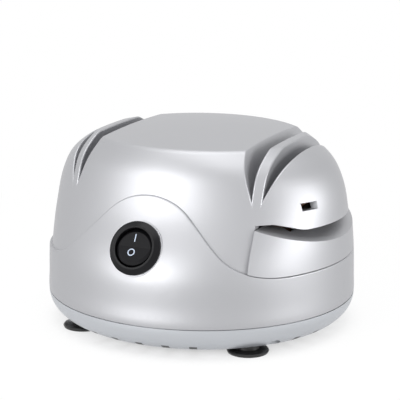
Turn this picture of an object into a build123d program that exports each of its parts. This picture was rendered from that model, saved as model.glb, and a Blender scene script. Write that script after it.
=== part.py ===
"""Electric kitchen sharpener for knives, scissors and screwdriver blades.

Millimetres.  X runs from the left pair of knife grooves to the right pair, Y from the
switch side to the back, Z up.  The origin lies on the table under the middle of the body.
A universal motor along X carries one grinding wheel under each pair of grooves.
"""
from build123d import *
import math
import os

# ------------------------------------------------------------------ outer form
BODY_WIDTH = 138.0
BODY_DEPTH = 133.0
PAN_UNDERSIDE_Z = 2.2        # flat underside of the base pan
SEAM_Z = 14.2                # parting line between base pan and upper housing
SKIRT_Z = 34.5               # top of the raised skirt at the sides and back
CROWN_Z = 86.7               # highest point of the top
CROWN_RADIUS = 440.0         # the top is a shallow dome of this radius
CREASE_FILLET = 4.0          # rounding between the top and the front face
SKIRT_STEP = 1.3             # how far the skirt and arch stand proud
STEP_FILLET = 0.6
HOUSING_WALL = 2.4
PART_GAP = 0.3               # moulded pieces that fit beside each other
SEAM_REVEAL = 0.4            # open line between housing and pan, seen from outside
SEAM_REVEAL_DEPTH = 0.8

# Horizontal sections of the form below the skirt step: share of the height from the
# seam to the crown, share of the half width, share of the half depth.
FORM_SECTIONS = (
    (0.000, 1.000, 1.000),
    (0.086, 0.999, 0.997),
    (0.181, 0.997, 0.993),
    (0.279, 0.994, 0.986),
    (0.376, 0.990, 0.954),
    (0.471, 0.987, 0.899),
    (0.568, 0.980, 0.834),
    (0.665, 0.965, 0.786),
    (0.747, 0.937, 0.757),
    (0.830, 0.886, 0.734),
    (0.878, 0.833, 0.712),
    (0.926, 0.757, 0.680),
    (0.982, 0.672, 0.625),
    (1.037, 0.585, 0.565),
)

# raised arch round the switch, seen from the front
ARCH_HALF_SPAN = 43.0        # where its straight flanks would meet the skirt line
ARCH_FLANK_ANGLE = 45.0
ARCH_TOP_RADIUS = 26.0
ARCH_FOOT_RADIUS = 35.0

# ------------------------------------------------------------------ knife grooves
FIN_INNER_X = 40.8           # the fin between the two grooves of a pair
FIN_THICKNESS = 4.0
GROOVE_BOTTOM_Z = 65.9
BEVEL_GUIDE_ANGLE = 20.0     # lean of each groove's outer wall, the knife's bevel angle
GROOVE_LINER = 2.2           # wall round the grooves inside the housing
GROOVE_FILLET = 0.6          # rounded rims of the grooves

# ------------------------------------------------------------------ scissors mouth
GUIDE_CUT_X = 43.8           # flat ends of the scissors guide
MOUTH_LIP_Z = 52.3           # upper lip at the middle of the side
MOUTH_LIP_END_Z = 56.0       # upper lip at its front and back ends
MOUTH_BEND_Y = 35.5          # where the lip turns down from its ends
MOUTH_MIDDLE_HALF = 25.0     # level stretch of the lip, along Y
MOUTH_BEND_RADIUS = 4.0
MOUTH_MIDDLE_RADIUS = 14.0
MOUTH_ROOF = 2.0
GUIDE_EDGE_Z = 44.9          # outer edge of the guide's ramp at the middle of the side
GUIDE_SLOPE = 21.0           # rise of the ramp towards the wheel, which sets the scissors' bevel
GUIDE_WALL = 2.4
GUIDE_FLOOR = 2.0
GUIDE_SIDE_GAP = 0.5
GUIDE_WHEEL_ROOM = 6.2       # from the wheel's side face to the fence
GUIDE_WINDOW_HALF = 12.0     # opening in the fence for the wheel's rim and nut
FENCE_HALF = 25.5            # upright wall beside the wheel, along Y

# ------------------------------------------------------------------ screwdriver slot
DRIVER_SLOT_Y = -20.6
DRIVER_SLOT_Z = 61.6
DRIVER_SLOT_WIDTH = 7.5
DRIVER_SLOT_HEIGHT = 3.3

# ------------------------------------------------------------------ base pan
PAN_WALL = 2.4
PAN_CORNER_REACH = 14.0      # how far the bowl curves in under the body
LIP_HEIGHT = 3.0             # locating lip that stands inside the housing
LIP_THICKNESS = 1.6
LIP_ROOT = 3.0
VENT_COUNT = 34
VENT_WIDTH = 3.0
VENT_LENGTH = 9.0
VENT_KEEP_OFF = 14.0         # no vent this near a foot
BOSS_RADIUS = 4.2
HOUSING_BOSS_X = 50.0
HOUSING_BOSS_Y = 36.0
HOUSING_SCREW_RADIUS = 1.5
BOSS_SCREW_DEPTH = 14.0
SCREW_HOLE_GAP = 0.2
SCREW_HEAD_HEIGHT = 1.6
SCREW_RECESS_WIDTH = 0.7
SCREW_HEAD_DEPTH = 5.0       # heads sit this far below the seam

# ------------------------------------------------------------------ feet
FOOT_X = 39.8
FOOT_Y = 38.0
FOOT_RADIUS = 9.0
FOOT_RIM = 1.3
FOOT_HEIGHT = 5.0
FOOT_NECK_RADIUS = 5.0
FOOT_SCREW_RADIUS = 1.6
FOOT_SCREW_SEAT_Z = 2.8
FOOT_SCREW_LENGTH = 6.5
FOOT_SCREW_HEAD = 3.2

# ------------------------------------------------------------------ drive
AXIS_Z = 45.4
SHAFT_RADIUS = 3.0
SHAFT_HALF_LENGTH = 53.0
RUNNING_GAP = 0.05
WHEEL_RADIUS = 23.5
WHEEL_WIDTH = 8.6
WHEEL_BEVEL = 1.2
WHEEL_BORE = 4.0
WHEEL_ROOM = 0.9             # clearance of the wheel chamber round the wheel
HUB_RADIUS = 9.0
HUB_THICKNESS = 1.6
NUT_ACROSS_FLATS = 10.0
NUT_THICKNESS = 3.6
WASHER_THICKNESS = 1.2

STACK_LENGTH = 26.0
STACK_WIDTH = 46.0
STACK_HEIGHT = 40.0
STACK_CORNER = 7.0
ARMATURE_RADIUS = 12.5
AIR_GAP = 0.5
ARMATURE_SLOTS = 9
SLOT_RADIUS = 1.9
SLOT_CIRCLE = 9.2
END_TURN = 4.5
COIL_OVERHANG = 5.0
BRACKET_X = 27.0             # inner face of each end bracket's plate
BRACKET_PLATE = 2.0
BRACKET_HEIGHT = 22.0
SPACER_RADIUS = 3.0           # between bracket and stack, round each bolt
BOLT_NUT_RADIUS = 3.1
BOLT_NUT_THICKNESS = 2.2
BOLT_HEAD_RADIUS = 2.7
COIL_WINDOW_HALF = 9.0
BEARING_RADIUS = 6.0
BEARING_LENGTH = 5.0
COMMUTATOR_RADIUS = 7.0
COMMUTATOR_LENGTH = 8.0
BRUSH_SIDE = 4.0
BRUSH_LENGTH = 9.0
FAN_RADIUS = 17.5
FAN_BLADES = 11
FAN_WIDTH = 7.0
MOTOR_SCREW_RADIUS = 1.5
BRACKET_FOOT_LENGTH = 9.0
POST_RADIUS = 4.5
POST_Y = 15.0

SHIELD_X = 33.0              # inner face of each dust shield
SHIELD_THICKNESS = 1.8
SHIELD_TOP_Z = 68.4
SHIELD_SHAFT_GAP = 1.0
SHIELD_HALF = 29.0

# ------------------------------------------------------------------ switch
SWITCH_X = -1.5
SWITCH_Z = 46.2
SWITCH_TILT = 26.0
SWITCH_BEZEL_RADIUS = 11.5
SWITCH_BEZEL_EDGE = 0.8      # straight outer edge of the bezel
SWITCH_RIM_RADIUS = 9.3      # raised rim round the rocker
SWITCH_RIM_HEIGHT = 2.1
SWITCH_BODY_RADIUS = 9.9
SWITCH_BODY_DEPTH = 15.0
SWITCH_SINK = 0.35           # bezel seat below the middle of the curved face
SWITCH_HOLE_GAP = 0.15
SWITCH_PAD = 0.6             # flat pad under the bezel, wider than it by this much
ROCKER_RADIUS = 7.9
ROCKER_HALF_ANGLE = 9.0
ROCKER_GAP = 0.6
ROCKER_PIVOT_DEPTH = 1.0     # pivot below the bezel's seat
ROCKER_PIN_RADIUS = 1.0
ROCKER_PIN_REACH = 1.2
ROCKER_POCKET = 5.0
ROCKER_FACE_EDGE = 2.0
ROCKER_FACE_MIDDLE = 1.2
ROCKER_DEPTH = 3.0           # skirt below the bezel's seat
ROCKER_BEVEL_START = 0.8     # height at which its side starts to lean in
ROCKER_BEVEL_RADIUS = 5.9    # radius that the bevel reaches at the height below
ROCKER_BEVEL_TOP = 2.2
TERMINAL_LENGTH = 8.0

# ------------------------------------------------------------------ electrics
CORD_INLET_Z = 25.0
CORD_INLET_BORE = 3.4
GROMMET_RADIUS = 6.0
GROMMET_COLLAR = 7.5
GROMMET_NECK = 3.0
BOARD_WIDTH = 34.0
BOARD_DEPTH = 20.0
BOARD_THICKNESS = 1.6
BOARD_Y = 38.0
BOARD_Z = 10.4
BOARD_POST_RADIUS = 2.6
BOARD_SCREW_RADIUS = 1.1
BOARD_SCREW_INSET = 3.0       # from the board's edges
CAPACITOR_SIZE = (15.0, 6.0, 11.0)
RECTIFIER_SIZE = (7.0, 4.5, 8.0)
TERMINAL_BLOCK_SIZE = (15.0, 8.0, 9.0)

# ------------------------------------------------------------------ worked out
HALF_WIDTH = BODY_WIDTH / 2 - SKIRT_STEP
HALF_DEPTH = BODY_DEPTH / 2 - SKIRT_STEP
FORM_HEIGHT = CROWN_Z - SEAM_Z
FIN_OUTER_X = FIN_INNER_X + FIN_THICKNESS
WHEEL_X = FIN_INNER_X + FIN_THICKNESS / 2
GUIDE_LEAN = math.tan(math.radians(BEVEL_GUIDE_ANGLE))
PAN_FLOOR_Z = PAN_UNDERSIDE_Z + PAN_WALL
GROMMET_SEAT_Y = BODY_DEPTH / 2 - 2.2
BRACKET_FOOT_Z = AXIS_Z - BRACKET_HEIGHT
BEARING_START = BRACKET_X - 1.0
FAR = 200.0                  # longer than anything, for cutting tools


# ================================================================== helpers
def form(grow=0.0, drop=0.0):
    """The plain dome without its crown cut, grown sideways and lowered."""
    sections = [
        Plane(origin=(0, 0, SEAM_Z + share * FORM_HEIGHT - drop))
        * Ellipse(HALF_WIDTH * wide + grow, HALF_DEPTH * deep + grow)
        for share, wide, deep in FORM_SECTIONS
    ]
    return loft(sections)


def crown(lowered=0.0):
    """Everything below the gently domed top."""
    return Pos(0, 0, CROWN_Z - CROWN_RADIUS) * Sphere(CROWN_RADIUS - lowered)


def span(x=(-FAR, FAR), y=(-FAR, FAR), z=(-FAR, FAR)):
    """A box between the given limits."""
    size = (x[1] - x[0], y[1] - y[0], z[1] - z[0])
    middle = ((x[0] + x[1]) / 2, (y[0] + y[1]) / 2, (z[0] + z[1]) / 2)
    return Pos(*middle) * Box(*size)


def along_y(outline, y_from=-FAR, y_to=FAR):
    """Extrude a closed outline of (x, z) points or an XZ wire along Y."""
    face = make_face(Polyline(*[(x, 0, z) for x, z in outline], close=True))
    return Pos(0, y_from, 0) * extrude(face, y_to - y_from, dir=(0, 1, 0))


def rod(x_from, x_to, radius, y=0.0, z=AXIS_Z):
    """A round bar along X."""
    return Pos((x_from + x_to) / 2, y, z) * Rot(0, 90, 0) * Cylinder(radius, x_to - x_from)


def post(x, y, z_from, z_to, radius):
    """A round bar along Z."""
    return Pos(x, y, (z_from + z_to) / 2) * Cylinder(radius, z_to - z_from)


def across_y(x, z, y_from, y_to, radius):
    """A round bar along Y."""
    return Pos(x, (y_from + y_to) / 2, z) * Rot(90, 0, 0) * Cylinder(radius, y_to - y_from)


def mirrored(shape):
    return mirror(shape, about=Plane.YZ)


def one(shape):
    """The single solid of a boolean result."""
    solids = shape.solids()
    return max(solids, key=lambda solid: solid.volume)


def four_corners(x, y):
    return [(sx * x, sy * y) for sx in (-1, 1) for sy in (-1, 1)]


# ================================================================== housing
def arch_region():
    """All space below the skirt line, with the arch raised at the front."""
    apex_z = SKIRT_Z + ARCH_HALF_SPAN * math.tan(math.radians(ARCH_FLANK_ANGLE))
    line = FilletPolyline(
        (-FAR / 2, 0, SKIRT_Z), (-ARCH_HALF_SPAN, 0, SKIRT_Z), (0, 0, apex_z),
        (ARCH_HALF_SPAN, 0, SKIRT_Z), (FAR / 2, 0, SKIRT_Z),
        radius=[ARCH_FOOT_RADIUS, ARCH_TOP_RADIUS, ARCH_FOOT_RADIUS],
    )
    close = Polyline((FAR / 2, 0, SKIRT_Z), (FAR / 2, 0, 0), (-FAR / 2, 0, 0), (-FAR / 2, 0, SKIRT_Z))
    front = extrude(make_face(line.edges() + close.edges()), FAR / 2, dir=(0, -1, 0))
    back = span((-FAR / 2, FAR / 2), (0, FAR / 2), (0, SKIRT_Z))
    return front + back


def groove_outline(side):
    """Cross section of one groove: side -1 lies inside the fin, +1 outside it."""
    reach = CROWN_Z - GROOVE_BOTTOM_Z + 4
    edge = FIN_INNER_X if side < 0 else FIN_OUTER_X
    top = GROOVE_BOTTOM_Z + reach
    return [(edge, GROOVE_BOTTOM_Z), (edge, top), (edge + side * reach * GUIDE_LEAN, top)]


def groove_block():
    """Solid round one pair of grooves, before they are cut."""
    reach = CROWN_Z - GROOVE_BOTTOM_Z + 4
    side = GROOVE_LINER / math.cos(math.radians(BEVEL_GUIDE_ANGLE))
    low = GROOVE_BOTTOM_Z - GROOVE_LINER
    spread = reach * GUIDE_LEAN
    left, right = FIN_INNER_X - side, FIN_OUTER_X + side
    return along_y([
        (left, low), (right, low), (right, GROOVE_BOTTOM_Z),
        (right + spread, GROOVE_BOTTOM_Z + reach), (left - spread, GROOVE_BOTTOM_Z + reach),
        (left, GROOVE_BOTTOM_Z),
    ])


def mouth_region():
    """Space between the skirt and the upper lip, on the right of the guide's flat ends."""
    lip = [(-FAR / 2, MOUTH_LIP_END_Z), (-MOUTH_BEND_Y, MOUTH_LIP_END_Z), (-MOUTH_MIDDLE_HALF, MOUTH_LIP_Z),
           (MOUTH_MIDDLE_HALF, MOUTH_LIP_Z), (MOUTH_BEND_Y, MOUTH_LIP_END_Z), (FAR / 2, MOUTH_LIP_END_Z)]
    radii = [MOUTH_BEND_RADIUS, MOUTH_MIDDLE_RADIUS, MOUTH_MIDDLE_RADIUS, MOUTH_BEND_RADIUS]
    line = FilletPolyline(*[(GUIDE_CUT_X, y, z) for y, z in lip], radius=radii)
    close = Polyline((GUIDE_CUT_X, FAR / 2, MOUTH_LIP_END_Z), (GUIDE_CUT_X, FAR / 2, SKIRT_Z),
                     (GUIDE_CUT_X, -FAR / 2, SKIRT_Z), (GUIDE_CUT_X, -FAR / 2, MOUTH_LIP_END_Z))
    region = extrude(make_face(line.edges() + close.edges()), FAR / 2, dir=(1, 0, 0))
    return region - arch_region()


def ramp_outline(top, bottom):
    """XZ outline between two planes that rise towards the wheel, at depths below the guide's edge."""
    rise = math.tan(math.radians(GUIDE_SLOPE))
    edge_x = HALF_WIDTH + SKIRT_STEP
    inner_x, outer_x = GUIDE_CUT_X + GUIDE_SIDE_GAP, edge_x + 10
    heights = [GUIDE_EDGE_Z + (edge_x - x) * rise for x in (inner_x, outer_x)]
    return [(inner_x, heights[0] - top), (outer_x, heights[1] - top),
            (outer_x, heights[1] - bottom), (inner_x, heights[0] - bottom)]


def driver_slot(margin, x_from, x_to):
    half_y = DRIVER_SLOT_WIDTH / 2 + margin
    half_z = DRIVER_SLOT_HEIGHT / 2 + margin
    return span((x_from, x_to), (DRIVER_SLOT_Y - half_y, DRIVER_SLOT_Y + half_y),
                (DRIVER_SLOT_Z - half_z, DRIVER_SLOT_Z + half_z))


def front_depth(z):
    """Half depth of the raised arch surface at a height, on the middle line."""
    share = (z - SEAM_Z) / FORM_HEIGHT
    for low, high in zip(FORM_SECTIONS, FORM_SECTIONS[1:]):
        if low[0] <= share <= high[0]:
            part = (share - low[0]) / (high[0] - low[0])
            return HALF_DEPTH * (low[2] + part * (high[2] - low[2])) + SKIRT_STEP
    return HALF_DEPTH


def switch_plane():
    """Seat of the switch bezel; its Z axis points out of the housing."""
    lean = math.radians(SWITCH_TILT)
    normal = Vector(0, -math.cos(lean), math.sin(lean))
    surface = Vector(SWITCH_X, -front_depth(SWITCH_Z), SWITCH_Z)
    return Plane(origin=surface - normal * SWITCH_SINK, x_dir=(1, 0, 0), z_dir=normal)


def wheel_chamber():
    """Room for one wheel where it rises between the grooves."""
    half = WHEEL_WIDTH / 2 + WHEEL_ROOM
    return rod(WHEEL_X - half, WHEEL_X + half, WHEEL_RADIUS + WHEEL_ROOM)


def cut_grooves(shape):
    for side in (-1, 1):
        groove = along_y(groove_outline(side))
        shape = shape - groove - mirrored(groove)
    return shape


def outer_form():
    """Outside of the upper housing: the grooved dome and the raised skirt with its arch."""
    dome = form() & crown()
    crease = [edge for edge in dome.edges() if edge.bounding_box().min.Z > SEAM_Z + 0.9 * FORM_HEIGHT]
    dome = cut_grooves(fillet(crease, CREASE_FILLET))
    flat = dome.faces().filter_by(GeomType.PLANE)
    walls = [face for face in flat if face.center().Z > GROOVE_BOTTOM_Z]
    rims = [edge for wall in walls for edge in wall.edges() if edge.geom_type != GeomType.LINE]
    raised = form(grow=SKIRT_STEP) & arch_region()
    step = [edge for edge in raised.edges()
            if edge.geom_type == GeomType.BSPLINE and edge.bounding_box().min.Z > SKIRT_Z - 0.5]
    return fillet(rims, GROOVE_FILLET), fillet(step, STEP_FILLET)


def upper_housing():
    """Moulded cover: shell, skirt and arch, groove liners, mouth and screw bosses."""
    dome, raised = outer_form()
    cavity = form(grow=-HOUSING_WALL, drop=HOUSING_WALL) & crown(HOUSING_WALL)
    shape = (dome + raised) - cavity
    inner = form(grow=-HOUSING_WALL / 2, drop=HOUSING_WALL / 2) & crown(HOUSING_WALL / 2)
    blocks = (groove_block() & inner) + mirrored(groove_block() & inner)
    roof = span((GUIDE_CUT_X + 8, FAR), z=(MOUTH_LIP_END_Z, MOUTH_LIP_END_Z + MOUTH_ROOF)) & inner
    shape += blocks + roof
    for x, y in four_corners(HOUSING_BOSS_X, HOUSING_BOSS_Y):
        shape += post(x, y, SEAM_Z, SEAM_Z + BOSS_SCREW_DEPTH + 3.0, BOSS_RADIUS) & inner
    shape = cut_grooves(shape)
    chamber = wheel_chamber()
    shape = shape - chamber - mirrored(chamber)
    shape -= mouth_region()
    shape -= driver_slot(0, WHEEL_X + WHEEL_WIDTH, FAR)
    seat = switch_plane()
    pad = seat * Pos(0, 0, -HOUSING_WALL / 2) * Cylinder(SWITCH_BEZEL_RADIUS + SWITCH_PAD, HOUSING_WALL)
    shape += pad
    shape -= seat * Pos(0, 0, FAR / 4) * Cylinder(SWITCH_BEZEL_RADIUS + SWITCH_PAD, FAR / 2)
    shape -= seat * Cylinder(SWITCH_BODY_RADIUS + SWITCH_HOLE_GAP, 2 * SWITCH_BODY_DEPTH)
    for x, y in four_corners(HOUSING_BOSS_X, HOUSING_BOSS_Y):
        shape -= post(x, y, 0, SEAM_Z + BOSS_SCREW_DEPTH, HOUSING_SCREW_RADIUS)
    shape -= across_y(0, CORD_INLET_Z, BODY_DEPTH / 2 - 10, BODY_DEPTH / 2 + 5, GROMMET_RADIUS)
    shape -= across_y(0, CORD_INLET_Z, GROMMET_SEAT_Y, BODY_DEPTH / 2 + 5, GROMMET_COLLAR + 0.1)
    ring = Ellipse(BODY_WIDTH / 2 + 1, BODY_DEPTH / 2 + 1)
    ring -= Ellipse(BODY_WIDTH / 2 - SEAM_REVEAL_DEPTH, BODY_DEPTH / 2 - SEAM_REVEAL_DEPTH)
    shape -= Pos(0, 0, SEAM_Z) * extrude(ring, SEAM_REVEAL)
    return one(shape)


def scissors_guide():
    """Panel under the mouth: curved wall, a ramp that rises towards the wheel, and a fence."""
    body = form(grow=SKIRT_STEP) & along_y(ramp_outline(0, FAR / 2))
    body -= Pos(0, 0, PART_GAP) * arch_region()
    inside = form(grow=SKIRT_STEP - GUIDE_WALL) & span(z=(SEAM_Z, FAR))
    wall = body - inside
    reach = body & form(grow=SKIRT_STEP - GUIDE_WALL / 2)
    fence_x = WHEEL_X + WHEEL_WIDTH / 2 + GUIDE_WHEEL_ROOM
    floor = along_y(ramp_outline(0, GUIDE_FLOOR)) - span((0, fence_x), (-FENCE_HALF, FENCE_HALF))
    fence = span((fence_x, fence_x + GUIDE_FLOOR), (-FENCE_HALF, FENCE_HALF))
    fence -= span(y=(-GUIDE_WINDOW_HALF, GUIDE_WINDOW_HALF))
    return one(wall + ((floor + fence) & reach))


# ================================================================== base
def pan_profile_solid(grow, floor_z):
    """Bowl under the seam: sections that follow a quarter ellipse inwards."""
    depth = SEAM_Z - floor_z
    sections = []
    for degrees in (0, 18, 36, 54, 72, 90):
        turn = math.radians(degrees)
        inset = PAN_CORNER_REACH * (1 - math.cos(turn))
        z = SEAM_Z - depth * math.sin(turn)
        sections.append(Plane(origin=(0, 0, z)) * Ellipse(HALF_WIDTH + SKIRT_STEP - inset + grow,
                                                        HALF_DEPTH + SKIRT_STEP - inset + grow))
    return loft(list(reversed(sections)))


def base_pan():
    """Lower bowl with locating lip, screw bosses, motor posts, foot seats and vents."""
    outside = pan_profile_solid(0, PAN_UNDERSIDE_Z)
    shell = outside - pan_profile_solid(-PAN_WALL, PAN_FLOOR_Z)
    lip_wide = HALF_WIDTH - HOUSING_WALL - PART_GAP
    lip_deep = HALF_DEPTH - HOUSING_WALL - PART_GAP
    opening = Ellipse(lip_wide - LIP_THICKNESS, lip_deep - LIP_THICKNESS)
    lip = extrude(Ellipse(lip_wide, lip_deep) - opening, LIP_HEIGHT + LIP_ROOT)
    band = extrude(Ellipse(HALF_WIDTH - 1, HALF_DEPTH - 1) - opening, LIP_ROOT)
    shell += Pos(0, 0, SEAM_Z - LIP_ROOT) * (lip + band)
    bosses = four_corners(HOUSING_BOSS_X, HOUSING_BOSS_Y)
    for x, y in bosses:
        shell -= post(x, y, SEAM_Z, SEAM_Z + LIP_HEIGHT + 1, BOSS_RADIUS + PART_GAP)
        shell += post(x, y, PAN_UNDERSIDE_Z, SEAM_Z, BOSS_RADIUS + 1) & outside
    for x, y in four_corners(BRACKET_X + BRACKET_PLATE - BRACKET_FOOT_LENGTH / 2, POST_Y):
        shell += post(x, y, PAN_FLOOR_Z - 1, BRACKET_FOOT_Z, POST_RADIUS)
        shell -= post(x, y, PAN_FLOOR_Z, BRACKET_FOOT_Z + 1, MOTOR_SCREW_RADIUS)
    for x, y in board_screw_places():
        shell += post(x, y, PAN_FLOOR_Z - 1, BOARD_Z, BOARD_POST_RADIUS)
        shell -= post(x, y, PAN_FLOOR_Z, BOARD_Z + 1, BOARD_SCREW_RADIUS)
    for x, y in four_corners(FOOT_X, FOOT_Y):
        shell += post(x, y, PAN_UNDERSIDE_Z, PAN_FLOOR_Z + 6, FOOT_NECK_RADIUS + 1.8) & outside
        shell -= post(x, y, 0, FOOT_HEIGHT, FOOT_NECK_RADIUS + PART_GAP)
        shell -= post(x, y, 0, PAN_FLOOR_Z + 5, FOOT_SCREW_RADIUS)
    for x, y in bosses:
        shell -= post(x, y, 0, SEAM_Z + 1, HOUSING_SCREW_RADIUS + SCREW_HOLE_GAP)
        shell -= post(x, y, 0, SEAM_Z - SCREW_HEAD_DEPTH, HOUSING_SCREW_RADIUS + 2.0)
    for side in (-1, 1):
        rib = span((SHIELD_X - 2, SHIELD_X + SHIELD_THICKNESS + 2), (-SHIELD_HALF, SHIELD_HALF),
                   (PAN_FLOOR_Z - 1, PAN_FLOOR_Z + 4))
        rib -= span((SHIELD_X - 0.1, SHIELD_X + SHIELD_THICKNESS + 0.1), z=(PAN_FLOOR_Z, FAR))
        shell += rib if side > 0 else mirrored(rib)
    vent = span((-VENT_WIDTH / 2, VENT_WIDTH / 2), (0, VENT_LENGTH), (0, PAN_FLOOR_Z + 5))
    for index in range(VENT_COUNT):
        turn = -90.0 + 360.0 * index / VENT_COUNT
        x = (HALF_WIDTH - PAN_CORNER_REACH - 1) * math.cos(math.radians(turn))
        y = (HALF_DEPTH - PAN_CORNER_REACH - 1) * math.sin(math.radians(turn))
        if min(math.dist((x, y), foot) for foot in four_corners(FOOT_X, FOOT_Y)) < VENT_KEEP_OFF:
            continue
        shell -= Pos(x, y, 0) * Rot(0, 0, turn - 90) * vent
    return one(shell)


# ================================================================== feet and screws
def foot(x, y):
    """Rubber suction foot: hollow disc, cone and neck."""
    profile = make_face(Polyline(
        (FOOT_SCREW_RADIUS, 0, FOOT_HEIGHT), (FOOT_NECK_RADIUS, 0, FOOT_HEIGHT),
        (FOOT_NECK_RADIUS, 0, FOOT_RIM + 0.6), (FOOT_RADIUS - 0.4, 0, FOOT_RIM),
        (FOOT_RADIUS, 0, FOOT_RIM * 0.6), (FOOT_RADIUS - 0.3, 0, 0),
        (FOOT_RADIUS - 2.2, 0, 0), (FOOT_SCREW_RADIUS + 2.4, 0, FOOT_RIM),
        (FOOT_SCREW_RADIUS + 2.4, 0, FOOT_SCREW_SEAT_Z), (FOOT_SCREW_RADIUS, 0, FOOT_SCREW_SEAT_Z),
        close=True))
    return Pos(x, y, 0) * revolve(profile, Axis.Z)


def screw_up(x, y, seat_z, length, radius, head_radius):
    """Pan-head screw pointing up, its head under seat_z."""
    head = post(x, y, seat_z - SCREW_HEAD_HEIGHT, seat_z, head_radius)
    bar = Box(head_radius * 1.2, SCREW_RECESS_WIDTH, SCREW_HEAD_HEIGHT)
    cross = Pos(x, y, seat_z - SCREW_HEAD_HEIGHT) * (bar + Rot(0, 0, 90) * bar)
    return head + post(x, y, seat_z, seat_z + length, radius - RUNNING_GAP) - cross


def foot_screws():
    return [screw_up(x, y, FOOT_SCREW_SEAT_Z, FOOT_SCREW_LENGTH, FOOT_SCREW_RADIUS, FOOT_SCREW_HEAD)
            for x, y in four_corners(FOOT_X, FOOT_Y)]


def housing_screws():
    return [screw_up(x, y, SEAM_Z - SCREW_HEAD_DEPTH, SCREW_HEAD_DEPTH + 12.0, HOUSING_SCREW_RADIUS, 2.9)
            for x, y in four_corners(HOUSING_BOSS_X, HOUSING_BOSS_Y)]


# ================================================================== motor, fixed side
def bolt_places():
    return four_corners(STACK_WIDTH / 2 - 5.0, STACK_HEIGHT / 2 - 5.0)


def stator_core():
    """Laminated two-pole stack with a bore and a coil window on each side."""
    half = STACK_LENGTH / 2
    block = Pos(0, 0, AXIS_Z) * Box(STACK_LENGTH, STACK_WIDTH, STACK_HEIGHT)
    block = fillet(block.edges().filter_by(Axis.X), STACK_CORNER)
    block -= rod(-FAR / 2, FAR / 2, ARMATURE_RADIUS + AIR_GAP)
    window_reach = STACK_WIDTH / 2 - 5.0
    block -= span((-FAR, FAR), (-window_reach, window_reach),
                  (AXIS_Z - COIL_WINDOW_HALF, AXIS_Z + COIL_WINDOW_HALF))
    for y, z in bolt_places():
        block -= rod(-half - 1, half + 1, MOTOR_SCREW_RADIUS + 0.1, y, AXIS_Z + z)
    return one(block)


def field_coil(up):
    """Winding round one pole: two bars through the windows and an arch at each end."""
    inner = ARMATURE_RADIUS + AIR_GAP + 0.5
    outer = STACK_WIDTH / 2 - 5.4
    half = STACK_LENGTH / 2
    end = half + COIL_OVERHANG
    bars = [span((-end, end), (min(side * inner, side * outer), max(side * inner, side * outer)),
                 (AXIS_Z + 1.0, AXIS_Z + 8.5)) for side in (-1, 1)]
    shape = bars[0] + bars[1]
    for side in (-1, 1):
        ring = rod(min(side * (half + 0.4), side * end), max(side * (half + 0.4), side * end), outer)
        ring -= rod(-end - 1, end + 1, inner)
        shape += ring & span(z=(AXIS_Z + 1.0, FAR))
    if not up:
        shape = mirror(shape, about=Plane(origin=(0, 0, AXIS_Z), z_dir=(0, 0, 1)))
    return one(shape)


def end_bracket(side):
    """Pressed end plate with bearing seat, four spacers to the stack and a foot."""
    outer = BRACKET_X + BRACKET_PLATE
    plate = span((BRACKET_X, outer), (-STACK_WIDTH / 2 + 1, STACK_WIDTH / 2 - 1),
                 (BRACKET_FOOT_Z, AXIS_Z + STACK_HEIGHT / 2))
    plate = fillet(plate.edges().filter_by(Axis.X).sort_by(Axis.Z)[-2:], STACK_CORNER)
    foot_plate = span((outer - BRACKET_FOOT_LENGTH, outer), (-STACK_WIDTH / 2 + 1, STACK_WIDTH / 2 - 1),
                      (BRACKET_FOOT_Z, BRACKET_FOOT_Z + BRACKET_PLATE))
    shape = plate + foot_plate
    shape += rod(BRACKET_X - 1.0, BRACKET_X - 1.0 + BEARING_LENGTH, BEARING_RADIUS + 2.2)
    for y, z in bolt_places():
        shape += rod(STACK_LENGTH / 2, BRACKET_X, SPACER_RADIUS, y, AXIS_Z + z)
        shape -= rod(0, FAR / 2, MOTOR_SCREW_RADIUS + 0.1, y, AXIS_Z + z)
    shape -= rod(0, FAR / 2, BEARING_RADIUS)
    for y in (-12.5, 12.5):
        shape -= rod(BRACKET_X - 1, outer + 1, 2.6, y, AXIS_Z + 12.0)
    for y in (-POST_Y, POST_Y):
        shape -= post(outer - BRACKET_FOOT_LENGTH / 2, y, 0, BRACKET_FOOT_Z + 5, MOTOR_SCREW_RADIUS + 0.1)
    return one(shape if side > 0 else mirrored(shape))


def bearing(side):
    """Sintered bush pressed into the end bracket."""
    low = BRACKET_X - 1.0
    bush = rod(low, low + BEARING_LENGTH, BEARING_RADIUS)
    bush = chamfer(bush.edges(), 0.4) - rod(0, FAR / 2, SHAFT_RADIUS + RUNNING_GAP)
    return one(bush if side > 0 else mirrored(bush))


def motor_bolts():
    """Through bolts with nuts that clamp the brackets to the stack."""
    end = BRACKET_X + BRACKET_PLATE
    bolts = []
    for y, z in bolt_places():
        bolt = rod(-end, end + 3.2, MOTOR_SCREW_RADIUS, y, AXIS_Z + z)
        bolt += rod(-end - 2.0, -end, BOLT_HEAD_RADIUS, y, AXIS_Z + z)
        nut = extrude(RegularPolygon(BOLT_NUT_RADIUS, 6), BOLT_NUT_THICKNESS)
        nut = Pos(end, y, AXIS_Z + z) * Rot(0, 90, 0) * nut
        bolts.append(one(bolt + nut))
    return bolts


def bracket_screws():
    """Four screws from the bracket feet down into the pan's posts."""
    seat = BRACKET_FOOT_Z + BRACKET_PLATE
    places = four_corners(BRACKET_X + BRACKET_PLATE - BRACKET_FOOT_LENGTH / 2, POST_Y)
    return [post(x, y, seat - 11, seat, MOTOR_SCREW_RADIUS - RUNNING_GAP) + post(x, y, seat, seat + 1.8, 2.4)
            for x, y in places]


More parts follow.
